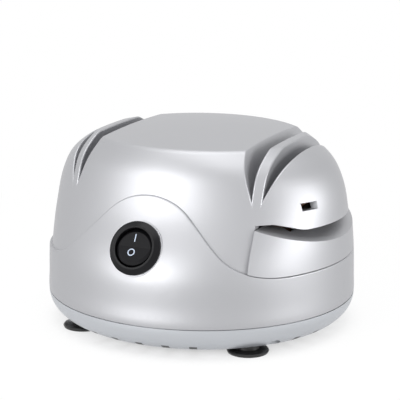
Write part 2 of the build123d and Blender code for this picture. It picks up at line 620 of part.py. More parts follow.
def brush_holder(side):
    """Insulating guide for one brush, fixed to the left bracket."""
    x_mid = -(BEARING_START - COMMUTATOR_LENGTH / 2 - 0.3)
    half = BRUSH_SIDE / 2 + 1.2
    near, far = COMMUTATOR_RADIUS + 1.2, STACK_WIDTH / 2 - 5.0
    tube = span((-BRACKET_X, x_mid + half), (near, far), (AXIS_Z - half, AXIS_Z + half))
    tube -= span((x_mid - BRUSH_SIDE / 2 - 0.1, x_mid + BRUSH_SIDE / 2 + 0.1), (0, FAR),
                 (AXIS_Z - BRUSH_SIDE / 2 - 0.1, AXIS_Z + BRUSH_SIDE / 2 + 0.1))
    tube -= rod(-BRACKET_X, -BRACKET_X + BEARING_LENGTH, BEARING_RADIUS + 2.5)
    return one(tube if side > 0 else mirror(tube, about=Plane.XZ))


def carbon_brush(side):
    x_mid = -(BEARING_START - COMMUTATOR_LENGTH / 2 - 0.3)
    near = COMMUTATOR_RADIUS + RUNNING_GAP
    block = span((x_mid - BRUSH_SIDE / 2, x_mid + BRUSH_SIDE / 2), (near - 1, near + BRUSH_LENGTH),
                 (AXIS_Z - BRUSH_SIDE / 2, AXIS_Z + BRUSH_SIDE / 2))
    block -= rod(-FAR / 2, 0, near)
    return one(block if side > 0 else mirror(block, about=Plane.XZ))


# ================================================================== motor, turning side
def shaft():
    bar = rod(-SHAFT_HALF_LENGTH, SHAFT_HALF_LENGTH, SHAFT_RADIUS)
    return one(chamfer(bar.edges(), 0.5))


def armature_core():
    half = STACK_LENGTH / 2
    core = rod(-half, half, ARMATURE_RADIUS) - rod(-FAR / 2, FAR / 2, SHAFT_RADIUS)
    for index in range(ARMATURE_SLOTS):
        slot = rod(-half - 1, half + 1, SLOT_RADIUS, SLOT_CIRCLE, AXIS_Z)
        slot += span((-half - 1, half + 1), (SLOT_CIRCLE, ARMATURE_RADIUS + 2), (AXIS_Z - 0.6, AXIS_Z + 0.6))
        core -= spun(slot, 360.0 * index / ARMATURE_SLOTS)
    return one(core)


def spun(shape, degrees):
    """Turn a shape about the motor axis."""
    return shape.rotate(Axis((0, 0, AXIS_Z), (1, 0, 0)), degrees)


def armature_winding():
    """Slot conductors joined by the end turns."""
    half = STACK_LENGTH / 2
    rim = SLOT_CIRCLE + SLOT_RADIUS
    shape = rod(half, half + END_TURN, rim) + rod(-half - END_TURN, -half, rim)
    shape = chamfer(shape.edges(), 1.0)
    shape -= rod(-FAR / 2, FAR / 2, SHAFT_RADIUS + 1.2)
    for index in range(ARMATURE_SLOTS):
        bar = rod(-half - 1, half + 1, SLOT_RADIUS - 0.1, SLOT_CIRCLE, AXIS_Z)
        shape += spun(bar, 360.0 * index / ARMATURE_SLOTS)
    return one(shape)


def commutator():
    """Copper barrel cut into bars."""
    end = -(BEARING_START - 0.3)
    barrel = rod(end, end + COMMUTATOR_LENGTH, COMMUTATOR_RADIUS) - rod(-FAR / 2, 0, SHAFT_RADIUS)
    count = 2 * ARMATURE_SLOTS
    for index in range(count):
        slit = span((end - 1, end + COMMUTATOR_LENGTH - 0.8),
                    (COMMUTATOR_RADIUS - 1.0, COMMUTATOR_RADIUS + 1), (AXIS_Z - 0.2, AXIS_Z + 0.2))
        barrel -= spun(slit, 360.0 * index / count)
    return one(barrel)


def cooling_fan():
    """Disc and radial blades on the right of the armature."""
    start = STACK_LENGTH / 2 + END_TURN + 0.8
    hub = rod(start, start + FAN_WIDTH, SHAFT_RADIUS + 2.5)
    disc = rod(start + FAN_WIDTH - 1.2, start + FAN_WIDTH, FAN_RADIUS)
    shape = hub + disc
    for index in range(FAN_BLADES):
        blade = span((start + 1.0, start + FAN_WIDTH - 0.6), (SHAFT_RADIUS + 2.0, FAN_RADIUS - 0.3),
                     (AXIS_Z - 0.6, AXIS_Z + 0.6))
        shape += spun(blade, 360.0 * index / FAN_BLADES)
    return one(shape - rod(0, FAR / 2, SHAFT_RADIUS))


def grinding_wheel(side):
    """Fine-grained wheel with a bevelled shoulder toward each groove."""
    half = WHEEL_WIDTH / 2
    wheel = rod(WHEEL_X - half, WHEEL_X + half, WHEEL_RADIUS)
    wheel = chamfer(wheel.edges(), WHEEL_BEVEL)
    wheel -= rod(0, FAR / 2, WHEEL_BORE)
    return one(wheel if side > 0 else mirrored(wheel))


def wheel_hub(side):
    """Flange inside the wheel with the sleeve that centres it on the shaft."""
    inner = WHEEL_X - WHEEL_WIDTH / 2
    hub = rod(inner - HUB_THICKNESS, inner, HUB_RADIUS) + rod(inner, inner + WHEEL_WIDTH - 0.1, WHEEL_BORE)
    hub -= rod(0, FAR / 2, SHAFT_RADIUS)
    return one(hub if side > 0 else mirrored(hub))


def wheel_washer(side):
    outer = WHEEL_X + WHEEL_WIDTH / 2
    washer = rod(outer, outer + WASHER_THICKNESS, HUB_RADIUS) - rod(0, FAR / 2, SHAFT_RADIUS)
    return one(washer if side > 0 else mirrored(washer))


def wheel_nut(side):
    start = WHEEL_X + WHEEL_WIDTH / 2 + WASHER_THICKNESS
    hexagon = RegularPolygon(NUT_ACROSS_FLATS / 2, 6, major_radius=False)
    nut = Pos(start, 0, AXIS_Z) * Rot(0, 90, 0) * extrude(hexagon, NUT_THICKNESS)
    nut -= rod(0, FAR / 2, SHAFT_RADIUS)
    return one(nut if side > 0 else mirrored(nut))


def dust_shield(side):
    """Plate that keeps filings out of the motor, standing in the pan's ribs."""
    plate = span((SHIELD_X, SHIELD_X + SHIELD_THICKNESS), (-SHIELD_HALF + 1, SHIELD_HALF - 1),
                 (PAN_FLOOR_Z, SHIELD_TOP_Z))
    plate = fillet(plate.edges().filter_by(Axis.X).sort_by(Axis.Z)[-2:], 10.0)
    plate -= rod(0, FAR / 2, SHAFT_RADIUS + SHIELD_SHAFT_GAP)
    return one(plate if side > 0 else mirrored(plate))


# ================================================================== switch
def switch_body():
    """Bezel ring and barrel of the round rocker switch."""
    pocket = ROCKER_RADIUS + ROCKER_GAP
    outline = make_face(Polyline(
        (0, 0, -SWITCH_BODY_DEPTH), (SWITCH_BODY_RADIUS, 0, -SWITCH_BODY_DEPTH), (SWITCH_BODY_RADIUS, 0, 0),
        (SWITCH_BEZEL_RADIUS, 0, 0), (SWITCH_BEZEL_RADIUS, 0, SWITCH_BEZEL_EDGE),
        (SWITCH_RIM_RADIUS, 0, SWITCH_RIM_HEIGHT), (pocket, 0, SWITCH_RIM_HEIGHT),
        (pocket, 0, -ROCKER_POCKET), (0, 0, -ROCKER_POCKET), close=True))
    shape = revolve(outline, Axis.Z)
    shape -= Pos(0, 0, -ROCKER_PIVOT_DEPTH) * Rot(0, 90, 0) * Cylinder(
        ROCKER_PIN_RADIUS + RUNNING_GAP, 2 * (ROCKER_RADIUS + ROCKER_PIN_REACH + 0.1))
    return one(switch_plane() * shape)


def switch_rocker():
    """Rocker with a dished face and a bevelled rim, its upper half pressed in."""
    low, top = -ROCKER_DEPTH, ROCKER_BEVEL_TOP
    face = make_face(Polyline(
        (0, -ROCKER_RADIUS, low), (0, -ROCKER_RADIUS, ROCKER_FACE_EDGE), (0, 0, ROCKER_FACE_MIDDLE),
        (0, ROCKER_RADIUS, ROCKER_FACE_EDGE), (0, ROCKER_RADIUS, low), close=True))
    rim = make_face(Polyline(
        (0, 0, low), (ROCKER_RADIUS, 0, low), (ROCKER_RADIUS, 0, ROCKER_BEVEL_START),
        (ROCKER_BEVEL_RADIUS, 0, top), (0, 0, top), close=True))
    block = Pos(-ROCKER_RADIUS, 0, 0) * extrude(face, 2 * ROCKER_RADIUS, dir=(1, 0, 0))
    block &= revolve(rim, Axis.Z)
    block += Pos(0, 0, -ROCKER_PIVOT_DEPTH) * Rot(0, 90, 0) * Cylinder(
        ROCKER_PIN_RADIUS, 2 * (ROCKER_RADIUS + ROCKER_PIN_REACH))
    block = block.rotate(Axis((0, 0, -ROCKER_PIVOT_DEPTH), (1, 0, 0)), -ROCKER_HALF_ANGLE)
    return one(switch_plane() * block)


def switch_terminals():
    """Two tab terminals at the back of the switch."""
    seat = switch_plane()
    middle = -SWITCH_BODY_DEPTH - TERMINAL_LENGTH / 2
    return [seat * Pos(x, 0, middle) * Box(0.8, 6.3, TERMINAL_LENGTH) for x in (-4.0, 4.0)]


# ================================================================== electrics
def board_screw_places():
    reach_x, reach_y = BOARD_WIDTH / 2 - BOARD_SCREW_INSET, BOARD_DEPTH / 2 - BOARD_SCREW_INSET
    return [(x, BOARD_Y + y) for x, y in four_corners(reach_x, reach_y)]


def cord_grommet():
    """Bush in the back wall that the mains lead passes through."""
    inner = GROMMET_SEAT_Y - GROMMET_NECK
    face_y = BODY_DEPTH / 2 - 0.4
    shape = across_y(0, CORD_INLET_Z, GROMMET_SEAT_Y, face_y, GROMMET_COLLAR)
    shape += across_y(0, CORD_INLET_Z, inner, GROMMET_SEAT_Y, GROMMET_RADIUS - 0.1)
    shape += across_y(0, CORD_INLET_Z, inner - 2.0, inner, GROMMET_COLLAR - 0.5)
    return one(shape - across_y(0, CORD_INLET_Z, 0, FAR / 2, CORD_INLET_BORE))


def circuit_board():
    board = Pos(0, BOARD_Y, BOARD_Z + BOARD_THICKNESS / 2) * Box(BOARD_WIDTH, BOARD_DEPTH, BOARD_THICKNESS)
    for x, y in board_screw_places():
        board -= post(x, y, 0, FAR, BOARD_SCREW_RADIUS + SCREW_HOLE_GAP)
    return one(board)


def board_screws():
    seat = BOARD_Z + BOARD_THICKNESS
    return [post(x, y, seat - 5, seat, BOARD_SCREW_RADIUS - RUNNING_GAP) + post(x, y, seat, seat + 1.2, 2.0)
            for x, y in board_screw_places()]


def on_board(x, y, size):
    seat = BOARD_Z + BOARD_THICKNESS
    return Pos(x, BOARD_Y + y, seat + size[2] / 2) * Box(*size)


def suppressor_capacitor():
    box = on_board(-4.0, 4.0, CAPACITOR_SIZE)
    return one(fillet(box.edges().filter_by(Axis.Z), 1.0))


def bridge_rectifier():
    return one(on_board(7.5, 4.0, RECTIFIER_SIZE))


def terminal_block():
    block = on_board(0, -5.0, TERMINAL_BLOCK_SIZE)
    top = BOARD_Z + BOARD_THICKNESS + TERMINAL_BLOCK_SIZE[2]
    for x in (-5.0, 0.0, 5.0):
        block -= post(x, BOARD_Y - 5.0, top - 5.0, FAR, 1.4)
    return one(block)


# ================================================================== write the nodes
def sides(name, make):
    return {f"{name}_left": make(-1), f"{name}_right": make(1)}


def all_nodes():
    nodes = {
        "upper_housing": upper_housing(),
        "base_pan": base_pan(),
        "scissors_guide": scissors_guide(),
        "housing_screws": housing_screws(),
        "foot_screws": foot_screws(),
        "stator_core": stator_core(),
        "field_coil_upper": field_coil(True),
        "field_coil_lower": field_coil(False),
        "motor_bolts": motor_bolts(),
        "bracket_screws": bracket_screws(),
        "brush_holder_front": brush_holder(-1),
        "brush_holder_rear": brush_holder(1),
        "carbon_brush_front": carbon_brush(-1),
        "carbon_brush_rear": carbon_brush(1),
        "motor_shaft": shaft(),
        "armature_core": armature_core(),
        "armature_winding": armature_winding(),
        "commutator": commutator(),
        "cooling_fan": cooling_fan(),
        "switch_body": switch_body(),
        "switch_rocker": switch_rocker(),
        "switch_terminals": switch_terminals(),
        "cord_grommet": cord_grommet(),
        "circuit_board": circuit_board(),
        "board_screws": board_screws(),
        "suppressor_capacitor": suppressor_capacitor(),
        "bridge_rectifier": bridge_rectifier(),
        "terminal_block": terminal_block(),
    }
    for name, make in (("end_bracket", end_bracket), ("motor_bearing", bearing),
                       ("grinding_wheel", grinding_wheel), ("wheel_hub", wheel_hub),
                       ("wheel_washer", wheel_washer), ("wheel_nut", wheel_nut),
                       ("dust_shield", dust_shield)):
        nodes.update(sides(name, make))
    corners = {"front_left": (-1, -1), "front_right": (1, -1), "rear_left": (-1, 1), "rear_right": (1, 1)}
    for place, (sx, sy) in corners.items():
        nodes[f"foot_{place}"] = foot(sx * FOOT_X, sy * FOOT_Y)
    return nodes


if __name__ == "__main__":
    os.makedirs("parts", exist_ok=True)
    for name, shape in all_nodes().items():
        if isinstance(shape, list):
            shape = Compound(children=shape)
        export_step(shape, f"parts/{name}.step")
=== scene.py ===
"""Electric kitchen sharpener: finishes, switch marks, light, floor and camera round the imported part."""
import math

import bmesh
import bpy
import numpy as np
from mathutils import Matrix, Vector


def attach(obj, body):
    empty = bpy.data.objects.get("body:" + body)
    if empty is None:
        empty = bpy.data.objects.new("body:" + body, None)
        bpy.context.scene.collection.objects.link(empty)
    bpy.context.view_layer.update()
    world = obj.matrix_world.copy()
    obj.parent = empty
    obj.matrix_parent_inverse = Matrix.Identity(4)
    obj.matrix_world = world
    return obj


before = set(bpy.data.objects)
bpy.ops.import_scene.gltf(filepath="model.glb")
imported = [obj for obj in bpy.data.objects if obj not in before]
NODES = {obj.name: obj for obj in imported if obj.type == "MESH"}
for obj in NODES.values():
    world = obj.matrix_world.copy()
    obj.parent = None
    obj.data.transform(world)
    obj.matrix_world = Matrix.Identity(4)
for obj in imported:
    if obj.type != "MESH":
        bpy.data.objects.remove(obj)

bl_info = {
    "name": "Electric Sharpener Finishes",
    "version": (1, 0, 0),
    "blender": (4, 5, 0),
    "location": "3D View > Sidebar > Sharpener",
    "description": "Paint, plastic, rubber and metal finishes for an electric sharpener, with its stage",
    "category": "Object",
}

MM = 0.001


# ------------------------------------------------------------------ shader helpers
class Value:
    """A number socket that can stand in a Python expression."""

    def __init__(self, finish, socket):
        self.finish = finish
        self.socket = socket

    def combine(self, operation, first, second=None):
        values = {0: first} if second is None else {0: first, 1: second}
        return self.finish.add("ShaderNodeMath", {"operation": operation}, values).value()

    def __add__(self, other):
        return self.combine("ADD", self, other)

    __radd__ = __add__

    def __sub__(self, other):
        return self.combine("SUBTRACT", self, other)

    def __rsub__(self, other):
        return self.combine("SUBTRACT", other, self)

    def __mul__(self, other):
        return self.combine("MULTIPLY", self, other)

    __rmul__ = __mul__

    def __gt__(self, other):
        return self.combine("GREATER_THAN", self, other)

    def __lt__(self, other):
        return self.combine("LESS_THAN", self, other)

    def fraction(self):
        return self.combine("FRACT", self)

    def absolute(self):
        return self.combine("ABSOLUTE", self)


class Added:
    """A node that was added to a finish, with its outputs close at hand."""

    def __init__(self, finish, node):
        self.finish = finish
        self.node = node

    def value(self, name=0):
        return Value(self.finish, self.node.outputs[name])

    def out(self, name=0):
        return self.node.outputs[name]


class Finish:
    """A material on one principled shader, with methods that add the nodes that vary it."""

    def __init__(self, name, colour, roughness=0.5, metallic=0.0, **settings):
        self.material = bpy.data.materials.new(name)
        self.material.use_nodes = True
        self.tree = self.material.node_tree
        self.shader = self.tree.nodes["Principled BSDF"]
        self.place = None
        constants = {"Base Color": (*colour, 1.0), "Roughness": roughness, "Metallic": metallic, **settings}
        for key, constant in constants.items():
            self.shader.inputs[key].default_value = constant

    def feed(self, socket, source):
        if isinstance(source, Value):
            self.tree.links.new(source.socket, socket)
        elif isinstance(source, bpy.types.NodeSocket):
            self.tree.links.new(source, socket)
        else:
            socket.default_value = source

    def add(self, kind, settings=None, values=None):
        node = self.tree.nodes.new(kind)
        for key, setting in (settings or {}).items():
            setattr(node, key, setting)
        for key, source in (values or {}).items():
            self.feed(node.inputs[key], source)
        return Added(self, node)

    def position(self):
        """Object coordinates, in metres in the row frame."""
        if self.place is None:
            self.place = self.add("ShaderNodeTexCoord").out("Object")
        return self.place

    def axis(self, letter):
        """One of the coordinates X, Y and Z."""
        return self.add("ShaderNodeSeparateXYZ", values={0: self.position()}).value(letter)

    def noise(self, scale, detail=2.0, roughness=0.5):
        return self.add("ShaderNodeTexNoise", values={
            "Vector": self.position(), "Scale": scale, "Detail": detail, "Roughness": roughness,
        }).value(0)

    def fade(self, value, start, end, share):
        """The share up to start, and from there evenly down to 0 at end."""
        return self.add("ShaderNodeMapRange", {"clamp": True}, {
            "Value": value, "From Min": start, "From Max": end, "To Min": share, "To Max": 0.0}).value()

    def blend(self, mask, first, second):
        """Colour first where mask is 0 and second where it is 1."""
        factor, colour_a, colour_b, colour_out = 0, 6, 7, 2
        return self.add("ShaderNodeMix", {"data_type": "RGBA"}, {
            factor: mask, colour_a: rgba(first), colour_b: rgba(second)}).out(colour_out)

    def drive(self, name, source):
        self.feed(self.shader.inputs[name], source)

    def mottle(self, low, high, scale):
        """Roughness that wanders between low and high."""
        self.drive("Roughness", low + (high - low) * self.noise(scale))

    def bump(self, height, strength, distance):
        self.drive("Normal", self.add("ShaderNodeBump", values={
            "Height": height, "Strength": strength, "Distance": distance}).out("Normal"))


def rgba(colour):
    return (colour[0], colour[1], colour[2], 1.0)


def shaded(colour, factor):
    """The colour made darker or lighter by a factor."""
    return tuple(min(1.0, channel * factor) for channel in colour)


def wear(finish, *names):
    """Gives CAD nodes this finish in place of the plain one they came with."""
    for name in names:
        mesh = NODES[name].data
        mesh.materials.clear()
        mesh.materials.append(finish.material)


# ------------------------------------------------------------------ mesh helpers
MERGE_DISTANCE = 0.001 * MM


def close_poles(mesh):
    """Joins the points of a row that has shrunk to one place."""
    shape = bmesh.new()
    shape.from_mesh(mesh)
    bmesh.ops.remove_doubles(shape, verts=shape.verts, dist=MERGE_DISTANCE)
    shape.to_mesh(mesh)
    shape.free()


def surface(name, points, finish, body, closed_u=False, closed_v=False):
    """A mesh object on a grid of points with rows u and columns v.

    Face (i, j) joins points (i, j), (i + 1, j), (i + 1, j + 1), (i, j + 1), taken modulo the
    count where that direction closes.
    """
    rows, columns = points.shape[:2]
    i = np.arange(rows if closed_u else rows - 1)[:, None]
    j = np.arange(columns if closed_v else columns - 1)[None, :]
    i_next, j_next = (i + 1) % rows, (j + 1) % columns
    corners = [i * columns + j, i_next * columns + j, i_next * columns + j_next, i * columns + j_next]
    faces = np.stack(corners, axis=-1).reshape(-1, 4)
    mesh = bpy.data.meshes.new(name)
    mesh.from_pydata(points.reshape(-1, 3), [], faces.tolist())
    close_poles(mesh)
    mesh.materials.append(finish.material)
    mesh.polygons.foreach_set("use_smooth", np.ones(len(mesh.polygons), bool))
    piece = bpy.data.objects.new(name, mesh)
    bpy.context.scene.collection.objects.link(piece)
    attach(piece, body)
    return piece


# ------------------------------------------------------------------ user settings
def colour_property(name, description, default):
    return bpy.props.FloatVectorProperty(name=name, description=description, default=default, size=3,
                                         min=0.0, max=1.0, subtype="COLOR")


class SharpenerPaint(bpy.types.PropertyGroup):
    """Colours of the painted and moulded pieces."""

    silver: colour_property("Silver paint", "Satin silver of the housing and the scissors guide",
                            (0.40, 0.403, 0.42))
    pan: colour_property("Base", "Silver grey of the base pan", (0.44, 0.455, 0.48))
    black: colour_property("Black plastic", "Switch and cord bush", (0.006, 0.006, 0.007))
    rubber: colour_property("Rubber", "Suction feet", (0.010, 0.010, 0.010))
    mark: colour_property("Switch marks", "Printed marks on the rocker", (0.46, 0.53, 0.64))
    grit: colour_property("Wheel", "Bonded abrasive of the grinding wheels", (0.30, 0.16, 0.10))
    satin: bpy.props.FloatProperty(name="Silver roughness", description="Roughness of the silver paint",
                                   default=0.47, min=0.05, max=1.0, subtype="FACTOR")


class SharpenerStage(bpy.types.PropertyGroup):
    """Camera, floor and light."""

    azimuth: bpy.props.FloatProperty(name="Azimuth",
                                     description="Camera angle from the front towards the right",
                                     default=math.radians(25.3), subtype="ANGLE")
    elevation: bpy.props.FloatProperty(name="Elevation", description="Camera angle above the table",
                                       default=math.radians(14.8), subtype="ANGLE")
    distance: bpy.props.FloatProperty(name="Distance",
                                      description="Camera distance from the middle of the body",
                                      default=0.714, min=0.2, unit="LENGTH")
    aim_height: bpy.props.FloatProperty(name="Aim height", description="Height that the camera looks at",
                                        default=0.0443, unit="LENGTH")
    lens: bpy.props.FloatProperty(name="Lens", description="Focal length in millimetres",
                                  default=143.46, min=10.0)
    shadow: bpy.props.FloatProperty(name="Shadow", description="Share of the shadow that the floor shows",
                                    default=0.56, min=0.0, max=1.0, subtype="FACTOR")
    floor_size: bpy.props.FloatProperty(name="Floor", description="Width of the floor", default=6.0, min=1.0,
                                        unit="LENGTH")


# ------------------------------------------------------------------ finishes
FLAKE_TONES = (0.965, 1.03)     # darkest and lightest flake, as shares of the paint's colour
SHEETS_PER_METRE = 2000.0       # sheets of half a millimetre
SHEET_SEAM_SHARE = 0.18
SHEET_COLOURS = ((0.17, 0.17, 0.175), (0.05, 0.05, 0.055))      # sheet and seam
WIRES_PER_METRE = 2200.0
WIRE_AND_SHADE_COLOURS = ((0.55, 0.23, 0.08), (0.22, 0.08, 0.03))         # middle of a wire, and painted shade between two
GRAIN_TONES = (0.55, 1.5)       # darkest and lightest grain, as shares of the wheel's colour
GRAIN_HEIGHT = 0.12 * MM
BOARD_COLOURS = ((0.18, 0.11, 0.04), (0.26, 0.17, 0.07))

# The pan's vents start on an ellipse, run outwards and keep off the feet. Shade is painted dark into their
# outer ends.
VENT_COUNT = 34
VENT_RING = (52.7 * MM, 50.2 * MM)
VENT_HALF_SHARE = 0.14          # half a vent's width as a share of the spacing
VENT_REACH = 1.24               # where the painted shade at the outer end stops, as a share of the ring
VENT_TOP = 6.0 * MM
VENT_SHADE = 0.10               # share of the pan's colour that is left where shade is painted in a vent
FOOT_PLACE = (39.8 * MM, 38.0 * MM)
FOOT_CLEAR = 17.0 * MM

# Colour, roughness and share of metal of the finishes that are the same all over.
PLAIN_FINISHES = {
    "commutator_copper": ((0.72, 0.34, 0.18), 0.32, 1.0),
    "fan_plastic": ((0.035, 0.035, 0.038), 0.55, 0.0),
    "brush_carbon": ((0.02, 0.02, 0.02), 0.6, 0.0),
    "capacitor_yellow": ((0.55, 0.36, 0.04), 0.4, 0.0),
    "rectifier_black": ((0.02, 0.02, 0.02), 0.4, 0.0),
    "terminal_green": ((0.05, 0.22, 0.10), 0.4, 0.0),
}


def plain(name):
    return Finish(name, *PLAIN_FINISHES[name])


def silver_paint(paint):
    """Satin metallic paint: a faint mottle of flakes in tone and gloss."""
    finish = Finish("silver_paint", paint.silver, metallic=0.75)
    darkest, lightest = (shaded(paint.silver, tone) for tone in FLAKE_TONES)
    finish.drive("Base Color", finish.blend(finish.noise(scale=9000.0, detail=1.0), darkest, lightest))
    finish.mottle(low=paint.satin - 0.02, high=paint.satin + 0.02, scale=60.0)
    return finish


def painted_vent_shade(finish):
    """Painted shade: 1 in the outer ends of the vents, which look into the dark inside, and a little past
    them, and 0 elsewhere.
    """
    x, y = finish.axis("X"), finish.axis("Y")
    across, back = x * (1.0 / VENT_RING[0]), y * (1.0 / VENT_RING[1])
    turn = finish.add("ShaderNodeMath", {"operation": "ARCTAN2"}, {0: back, 1: across}).value()
    share = (turn * (VENT_COUNT / math.tau) + VENT_COUNT * 0.25 + 0.5).fraction()
    on_vent = (share - 0.5).absolute() < VENT_HALF_SHARE
    in_reach = (across * across + back * back) < VENT_REACH ** 2
    foot_x, foot_y = x.absolute() - FOOT_PLACE[0], y.absolute() - FOOT_PLACE[1]
    off_foot = (foot_x * foot_x + foot_y * foot_y) > FOOT_CLEAR ** 2
    return on_vent * in_reach * off_foot * (finish.axis("Z") < VENT_TOP)


def pan_plastic(paint):
    """Silver grey plastic, with shade painted dark into the outer ends of the vents."""
    finish = Finish("base_plastic", paint.pan, metallic=0.60)
    # painted shade: the pan's colour darkened in the vents' outer ends
    finish.drive("Base Color", finish.blend(painted_vent_shade(finish), paint.pan, shaded(paint.pan, VENT_SHADE)))
    finish.mottle(low=0.43, high=0.48, scale=80.0)
    return finish


def black_plastic(paint):
    finish = Finish("black_plastic", paint.black, **{"Specular IOR Level": 0.15})
    finish.mottle(low=0.27, high=0.33, scale=150.0)
    return finish


def mark_ink(paint):
    finish = Finish("mark_ink", paint.mark)
    finish.mottle(low=0.45, high=0.55, scale=2000.0)
    return finish


def foot_rubber(paint):
    finish = Finish("foot_rubber", paint.rubber)
    finish.mottle(low=0.26, high=0.36, scale=220.0)
    return finish


def plated_steel():
    finish = Finish("plated_steel", (0.62, 0.62, 0.60), metallic=1.0)
    finish.mottle(low=0.26, high=0.38, scale=400.0)
    return finish


def laminated_steel():
    """Dark sheet steel in layers along X."""
    finish = Finish("stack_steel", SHEET_COLOURS[0], 0.5, metallic=0.9)
    seam = (finish.axis("X") * SHEETS_PER_METRE).fraction() < SHEET_SEAM_SHARE
    finish.drive("Base Color", finish.blend(seam, *SHEET_COLOURS))
    return finish


def wound_copper():
    """Enamelled wire in turns along Z: each turn is painted darker towards its edges, as the shade of a
    round wire and of the gap between turns.
    """
    finish = Finish("copper_wire", WIRE_AND_SHADE_COLOURS[0], 0.38, metallic=0.85)
    turn = ((finish.axis("Z") * WIRES_PER_METRE).fraction() - 0.5).absolute()
    # painted shade, darker towards the edges of each turn
    finish.drive("Base Color", finish.blend(turn * 1.6, *WIRE_AND_SHADE_COLOURS))
    return finish


def bush_bronze():
    finish = Finish("bush_bronze", (0.52, 0.36, 0.16), metallic=0.9)
    finish.mottle(low=0.38, high=0.54, scale=900.0)
    return finish


def wheel_grit(paint):
    """Bonded abrasive: fine speckle in colour and height."""
    finish = Finish("wheel_grit", paint.grit, 0.85)
    grains = finish.noise(scale=3200.0, detail=3.0, roughness=0.65)
    darkest, lightest = (shaded(paint.grit, tone) for tone in GRAIN_TONES)
    finish.drive("Base Color", finish.blend(grains, darkest, lightest))
    finish.bump(grains, strength=0.5, distance=GRAIN_HEIGHT)
    return finish


def board_laminate():
    finish = Finish("board_laminate", BOARD_COLOURS[0], 0.5)
    finish.drive("Base Color", finish.blend(finish.noise(scale=700.0), *BOARD_COLOURS))
    return finish


# ------------------------------------------------------------------ operators
class Step(bpy.types.Operator):
    """Base of the operators: hands over the settings."""

    bl_options = {"REGISTER", "UNDO"}

    @property
    def paint(self):
        return bpy.context.scene.sharpener_paint

    @property
    def stage(self):
        return bpy.context.scene.sharpener_stage


class SHARPENER_OT_body(Step):
    """Silver paint for the housing and the scissors guide, silver grey for the base"""

    bl_idname = "sharpener.body"
    bl_label = "Finish the body"

    def execute(self, context):
        wear(silver_paint(self.paint), "upper_housing", "scissors_guide")
        wear(pan_plastic(self.paint), "base_pan")
        return {"FINISHED"}


class SHARPENER_OT_feet(Step):
    """Black rubber for the four suction feet"""

    bl_idname = "sharpener.feet"
    bl_label = "Finish the feet"

    def execute(self, context):
        feet = [name for name in NODES if name.startswith("foot_") and name != "foot_screws"]
        wear(foot_rubber(self.paint), *feet)
        return {"FINISHED"}


# The rocker's seat is a plane that leans back. Its face dips to a valley and is turned about a pivot.
SEAT = np.array([-1.5, -60.718, 46.047]) * MM
SEAT_LEAN = math.radians(26.0)
FACE_VALLEY, FACE_SLOPE = 1.2 * MM, 0.8 / 7.9
PIVOT_DEPTH, ROCKER_TILT = 1.0 * MM, math.radians(9.0)
MARK_THICKNESS, MARK_STROKE = 0.06 * MM, 0.5 * MM
BAR_LENGTH, BAR_PLACE = 3.4 * MM, (-0.5 * MM, 3.9 * MM)
RING_DIAMETER, RING_PLACE = 3.3 * MM, (-0.74 * MM, -2.44 * MM)


def on_rocker(across, along, lift):
    """Points on the rocker's face, from distances across and along it and above it.

    The face stands at the valley's height plus the slope times the distance from the valley. It is
    then turned about X at the pivot, top inwards, and carried to the seat: seat plus across times
    X, along times the seat's upward direction and height times its outward one.
    """
    height = FACE_VALLEY + FACE_SLOPE * np.abs(along) + lift + PIVOT_DEPTH
    up = along * math.cos(ROCKER_TILT) + height * math.sin(ROCKER_TILT)
    out = height * math.cos(ROCKER_TILT) - along * math.sin(ROCKER_TILT) - PIVOT_DEPTH
    upward = np.array([0.0, math.sin(SEAT_LEAN), math.cos(SEAT_LEAN)])
    outward = np.array([0.0, -math.cos(SEAT_LEAN), math.sin(SEAT_LEAN)])
    right = np.array([1.0, 0.0, 0.0])
    return SEAT + across[..., None] * right + up[..., None] * upward + out[..., None] * outward


def bar_mark(length, stroke, thickness, place, rows=33, columns=12):
    """Bar with round ends and an elliptic section.

    The section's size is 1, and falls off as a half circle over half a stroke at each end. Across
    is half the stroke times that size times cos(v), lift is the thickness times it times sin(v).
    """
    along = 0.5 * length * np.sin(np.linspace(-0.5 * np.pi, 0.5 * np.pi, rows))[:, None]
    turn = np.linspace(0.0, 2.0 * np.pi, columns, endpoint=False)[None, :]
    into_end = np.clip(np.abs(along) - 0.5 * (length - stroke), 0.0, 0.5 * stroke) / (0.5 * stroke)
    size = np.sqrt(1.0 - into_end ** 2)
    across = 0.5 * stroke * size * np.cos(turn)
    lift = thickness * size * np.sin(turn)
    return on_rocker(across + place[0], along + 0.0 * turn + place[1], lift)


def ring_mark(diameter, stroke, thickness, place, rows=48, columns=10):
    """Ring with an elliptic section: the radius is the middle one plus half the stroke times
    cos(v), and the lift is the thickness times sin(v)."""
    angle = np.linspace(0.0, 2.0 * np.pi, rows, endpoint=False)[:, None]
    turn = np.linspace(0.0, 2.0 * np.pi, columns, endpoint=False)[None, :]
    radius = 0.5 * (diameter - stroke) + 0.5 * stroke * np.cos(turn)
    lift = thickness * np.sin(turn) + 0.0 * angle
    return on_rocker(radius * np.cos(angle) + place[0], radius * np.sin(angle) + place[1], lift)


class SHARPENER_OT_switch(Step):
    """Black switch with its bar and ring marks on the rocker"""

    bl_idname = "sharpener.switch"
    bl_label = "Finish the switch"

    def execute(self, context):
        wear(black_plastic(self.paint), "switch_body", "switch_rocker", "cord_grommet")
        wear(plated_steel(), "switch_terminals")
        ink = mark_ink(self.paint)
        bar = bar_mark(BAR_LENGTH, MARK_STROKE, MARK_THICKNESS, BAR_PLACE)
        surface("switch_mark_on", bar, ink, "rocker", closed_v=True)
        ring = ring_mark(RING_DIAMETER, MARK_STROKE, MARK_THICKNESS, RING_PLACE)
        surface("switch_mark_off", ring, ink, "rocker", closed_u=True, closed_v=True)
        return {"FINISHED"}


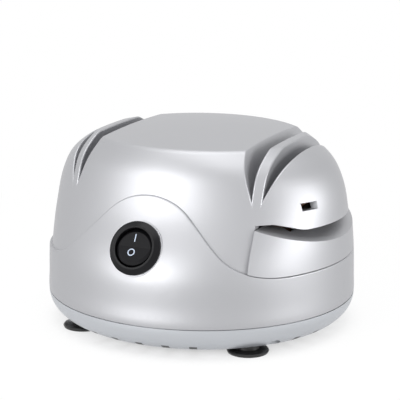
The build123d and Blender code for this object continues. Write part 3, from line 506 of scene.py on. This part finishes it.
class SHARPENER_OT_drive(Step):
    """Motor, shaft and grinding wheels"""

    bl_idname = "sharpener.drive"
    bl_label = "Finish the drive"

    def execute(self, context):
        wear(plated_steel(), "motor_shaft", "motor_bolts", "bracket_screws", "housing_screws", "foot_screws",
             "board_screws", "end_bracket_left", "end_bracket_right", "wheel_hub_left", "wheel_hub_right",
             "wheel_washer_left", "wheel_washer_right", "wheel_nut_left", "wheel_nut_right")
        wear(laminated_steel(), "stator_core", "armature_core")
        wear(wound_copper(), "field_coil_upper", "field_coil_lower", "armature_winding")
        wear(plain("commutator_copper"), "commutator")
        wear(bush_bronze(), "motor_bearing_left", "motor_bearing_right")
        wear(wheel_grit(self.paint), "grinding_wheel_left", "grinding_wheel_right")
        wear(plain("fan_plastic"), "cooling_fan", "dust_shield_left", "dust_shield_right",
             "brush_holder_front", "brush_holder_rear")
        wear(plain("brush_carbon"), "carbon_brush_front", "carbon_brush_rear")
        return {"FINISHED"}


class SHARPENER_OT_electrics(Step):
    """Circuit board and what is on it"""

    bl_idname = "sharpener.electrics"
    bl_label = "Finish the electrics"

    def execute(self, context):
        wear(board_laminate(), "circuit_board")
        wear(plain("capacitor_yellow"), "suppressor_capacitor")
        wear(plain("rectifier_black"), "bridge_rectifier")
        wear(plain("terminal_green"), "terminal_block")
        return {"FINISHED"}


# ------------------------------------------------------------------ stage
WHITE = (1.0, 1.0, 1.0, 1.0)
WORLD_STRENGTH = 0.40
CONTACT_FADE = (0.045, 0.074)   # the shadow under the part fades out between these distances
SPREAD_FADE, SPREAD_SHARE = (0.06, 0.25), 0.14      # the faint one around it, as a share of the first
SENSOR_WIDTH = 36.0
LENS_SHIFT = (-0.00325, 0.04775)
CLIP_RANGE = (0.01, 50.0)
LAMP_TARGET = (0.0, 0.0, 0.045)
BOX_DISTANCE = 1.25
SOFT_BOXES = (  # name, azimuth from the front, elevation, width, height, watts
    ("front_box", -18.0, 14.0, 0.85, 0.70, 12.0),
    ("right_box", 93.0, 8.0, 0.80, 0.48, 9.0),
    ("top_box", 0.0, 88.0, 1.0, 1.2, 9.0),
)


def direction(azimuth, elevation):
    """Unit vector towards an azimuth from the front, to the right, and an elevation, in radians."""
    return Vector((math.sin(azimuth) * math.cos(elevation), -math.cos(azimuth) * math.cos(elevation),
                   math.sin(elevation)))


def soft_box(name, place, target, width, height, power):
    """A rectangular area lamp at place, facing target, in metres and watts."""
    lamp = bpy.data.lights.new(name, "AREA")
    lamp.shape, lamp.size, lamp.size_y, lamp.energy = "RECTANGLE", width, height, power
    holder = bpy.data.objects.new(name, lamp)
    holder.location = place
    holder.rotation_euler = (Vector(target) - Vector(place)).to_track_quat("-Z", "Y").to_euler()
    bpy.context.scene.collection.objects.link(holder)


def seen_directly(tree):
    """Socket that is 1 on camera, glossy and transmission rays and 0 on all others."""
    rays = tree.nodes.new("ShaderNodeLightPath")
    seen = rays.outputs["Is Camera Ray"]
    for name in ("Is Glossy Ray", "Is Transmission Ray"):
        either = tree.nodes.new("ShaderNodeMath")
        either.operation = "MAXIMUM"
        tree.links.new(seen, either.inputs[0])
        tree.links.new(rays.outputs[name], either.inputs[1])
        seen = either.outputs[0]
    return seen


def light_world(tree, strength):
    """World: plain grey light on the object, white where the camera or a reflection looks past it."""
    background = tree.nodes["Background"]
    background.inputs["Color"].default_value = WHITE
    background.inputs["Strength"].default_value = strength
    white = tree.nodes.new("ShaderNodeBackground")
    white.inputs["Color"].default_value = WHITE
    mix = tree.nodes.new("ShaderNodeMixShader")
    tree.links.new(seen_directly(tree), mix.inputs[0])
    tree.links.new(background.outputs[0], mix.inputs[1])
    tree.links.new(white.outputs[0], mix.inputs[2])
    tree.links.new(mix.outputs[0], tree.nodes["World Output"].inputs["Surface"])


def floor_white(shadow):
    """White floor that keeps a share of the shadows, most of it close to the part."""
    finish = Finish("floor_white", WHITE[:3], 0.9)
    tree = finish.tree
    from_part = finish.add("ShaderNodeVectorMath", {"operation": "LENGTH"},
                           {0: finish.position()}).value("Value")
    near = (finish.fade(from_part, *CONTACT_FADE, shadow)
            + finish.fade(from_part, *SPREAD_FADE, SPREAD_SHARE * shadow))
    glow = tree.nodes.new("ShaderNodeEmission")
    glow.inputs["Color"].default_value = WHITE
    share = Value(finish, seen_directly(tree)) * (1.0 - near)
    mix = finish.add("ShaderNodeMixShader", values={
        0: share, 1: finish.shader.outputs[0], 2: glow.outputs[0]})
    tree.links.new(mix.out(), tree.nodes["Material Output"].inputs["Surface"])
    return finish


class SHARPENER_OT_stage(Step):
    """Pale floor, soft light and the camera"""

    bl_idname = "sharpener.stage"
    bl_label = "Build the stage"

    def execute(self, context):
        scene, stage = context.scene, self.stage
        half = stage.floor_size / 2
        mesh = bpy.data.meshes.new("floor")
        corners = [(-half, -half, 0), (half, -half, 0), (half, half, 0), (-half, half, 0)]
        mesh.from_pydata(corners, [], [(0, 1, 2, 3)])
        floor = bpy.data.objects.new("floor", mesh)
        scene.collection.objects.link(floor)
        mesh.materials.append(floor_white(stage.shadow).material)

        world = scene.world or bpy.data.worlds.new("studio")
        scene.world = world
        world.use_nodes = True
        light_world(world.node_tree, WORLD_STRENGTH)
        for name, azimuth, elevation, width, height, power in SOFT_BOXES:
            place = BOX_DISTANCE * direction(math.radians(azimuth), math.radians(elevation))
            soft_box(name, place, LAMP_TARGET, width, height, power)

        lens = bpy.data.cameras.new("camera")
        lens.lens = stage.lens
        lens.sensor_width = SENSOR_WIDTH
        lens.shift_x, lens.shift_y = LENS_SHIFT
        lens.clip_start, lens.clip_end = CLIP_RANGE
        camera = bpy.data.objects.new("camera", lens)
        back = direction(stage.azimuth, stage.elevation)
        camera.location = Vector((0, 0, stage.aim_height)) + back * stage.distance
        camera.rotation_euler = (-back).to_track_quat("-Z", "Y").to_euler()
        scene.collection.objects.link(camera)
        scene.camera = camera
        scene.view_settings.view_transform = "Standard"
        return {"FINISHED"}


OPERATORS = (SHARPENER_OT_body, SHARPENER_OT_feet, SHARPENER_OT_switch, SHARPENER_OT_drive,
             SHARPENER_OT_electrics, SHARPENER_OT_stage)


class SHARPENER_PT_panel(bpy.types.Panel):
    """Lists the sharpener's settings and steps"""

    bl_label = "Sharpener"
    bl_idname = "SHARPENER_PT_panel"
    bl_space_type = "VIEW_3D"
    bl_region_type = "UI"
    bl_category = "Sharpener"

    def draw(self, context):
        for group in (context.scene.sharpener_paint, context.scene.sharpener_stage):
            column = self.layout.column(align=True)
            for name in group.__annotations__:
                column.prop(group, name)
        for operator in OPERATORS:
            self.layout.operator(operator.bl_idname)


CLASSES = (SharpenerPaint, SharpenerStage, *OPERATORS, SHARPENER_PT_panel)


def register():
    for item in CLASSES:
        bpy.utils.register_class(item)
    bpy.types.Scene.sharpener_paint = bpy.props.PointerProperty(type=SharpenerPaint)
    bpy.types.Scene.sharpener_stage = bpy.props.PointerProperty(type=SharpenerStage)


def unregister():
    del bpy.types.Scene.sharpener_paint
    del bpy.types.Scene.sharpener_stage
    for item in reversed(CLASSES):
        bpy.utils.unregister_class(item)


def main():
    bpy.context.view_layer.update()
    register()
    bpy.ops.sharpener.body()
    bpy.ops.sharpener.feet()
    bpy.ops.sharpener.switch()
    bpy.ops.sharpener.drive()
    bpy.ops.sharpener.electrics()
    bpy.ops.sharpener.stage()


if __name__ == "__main__":
    main()
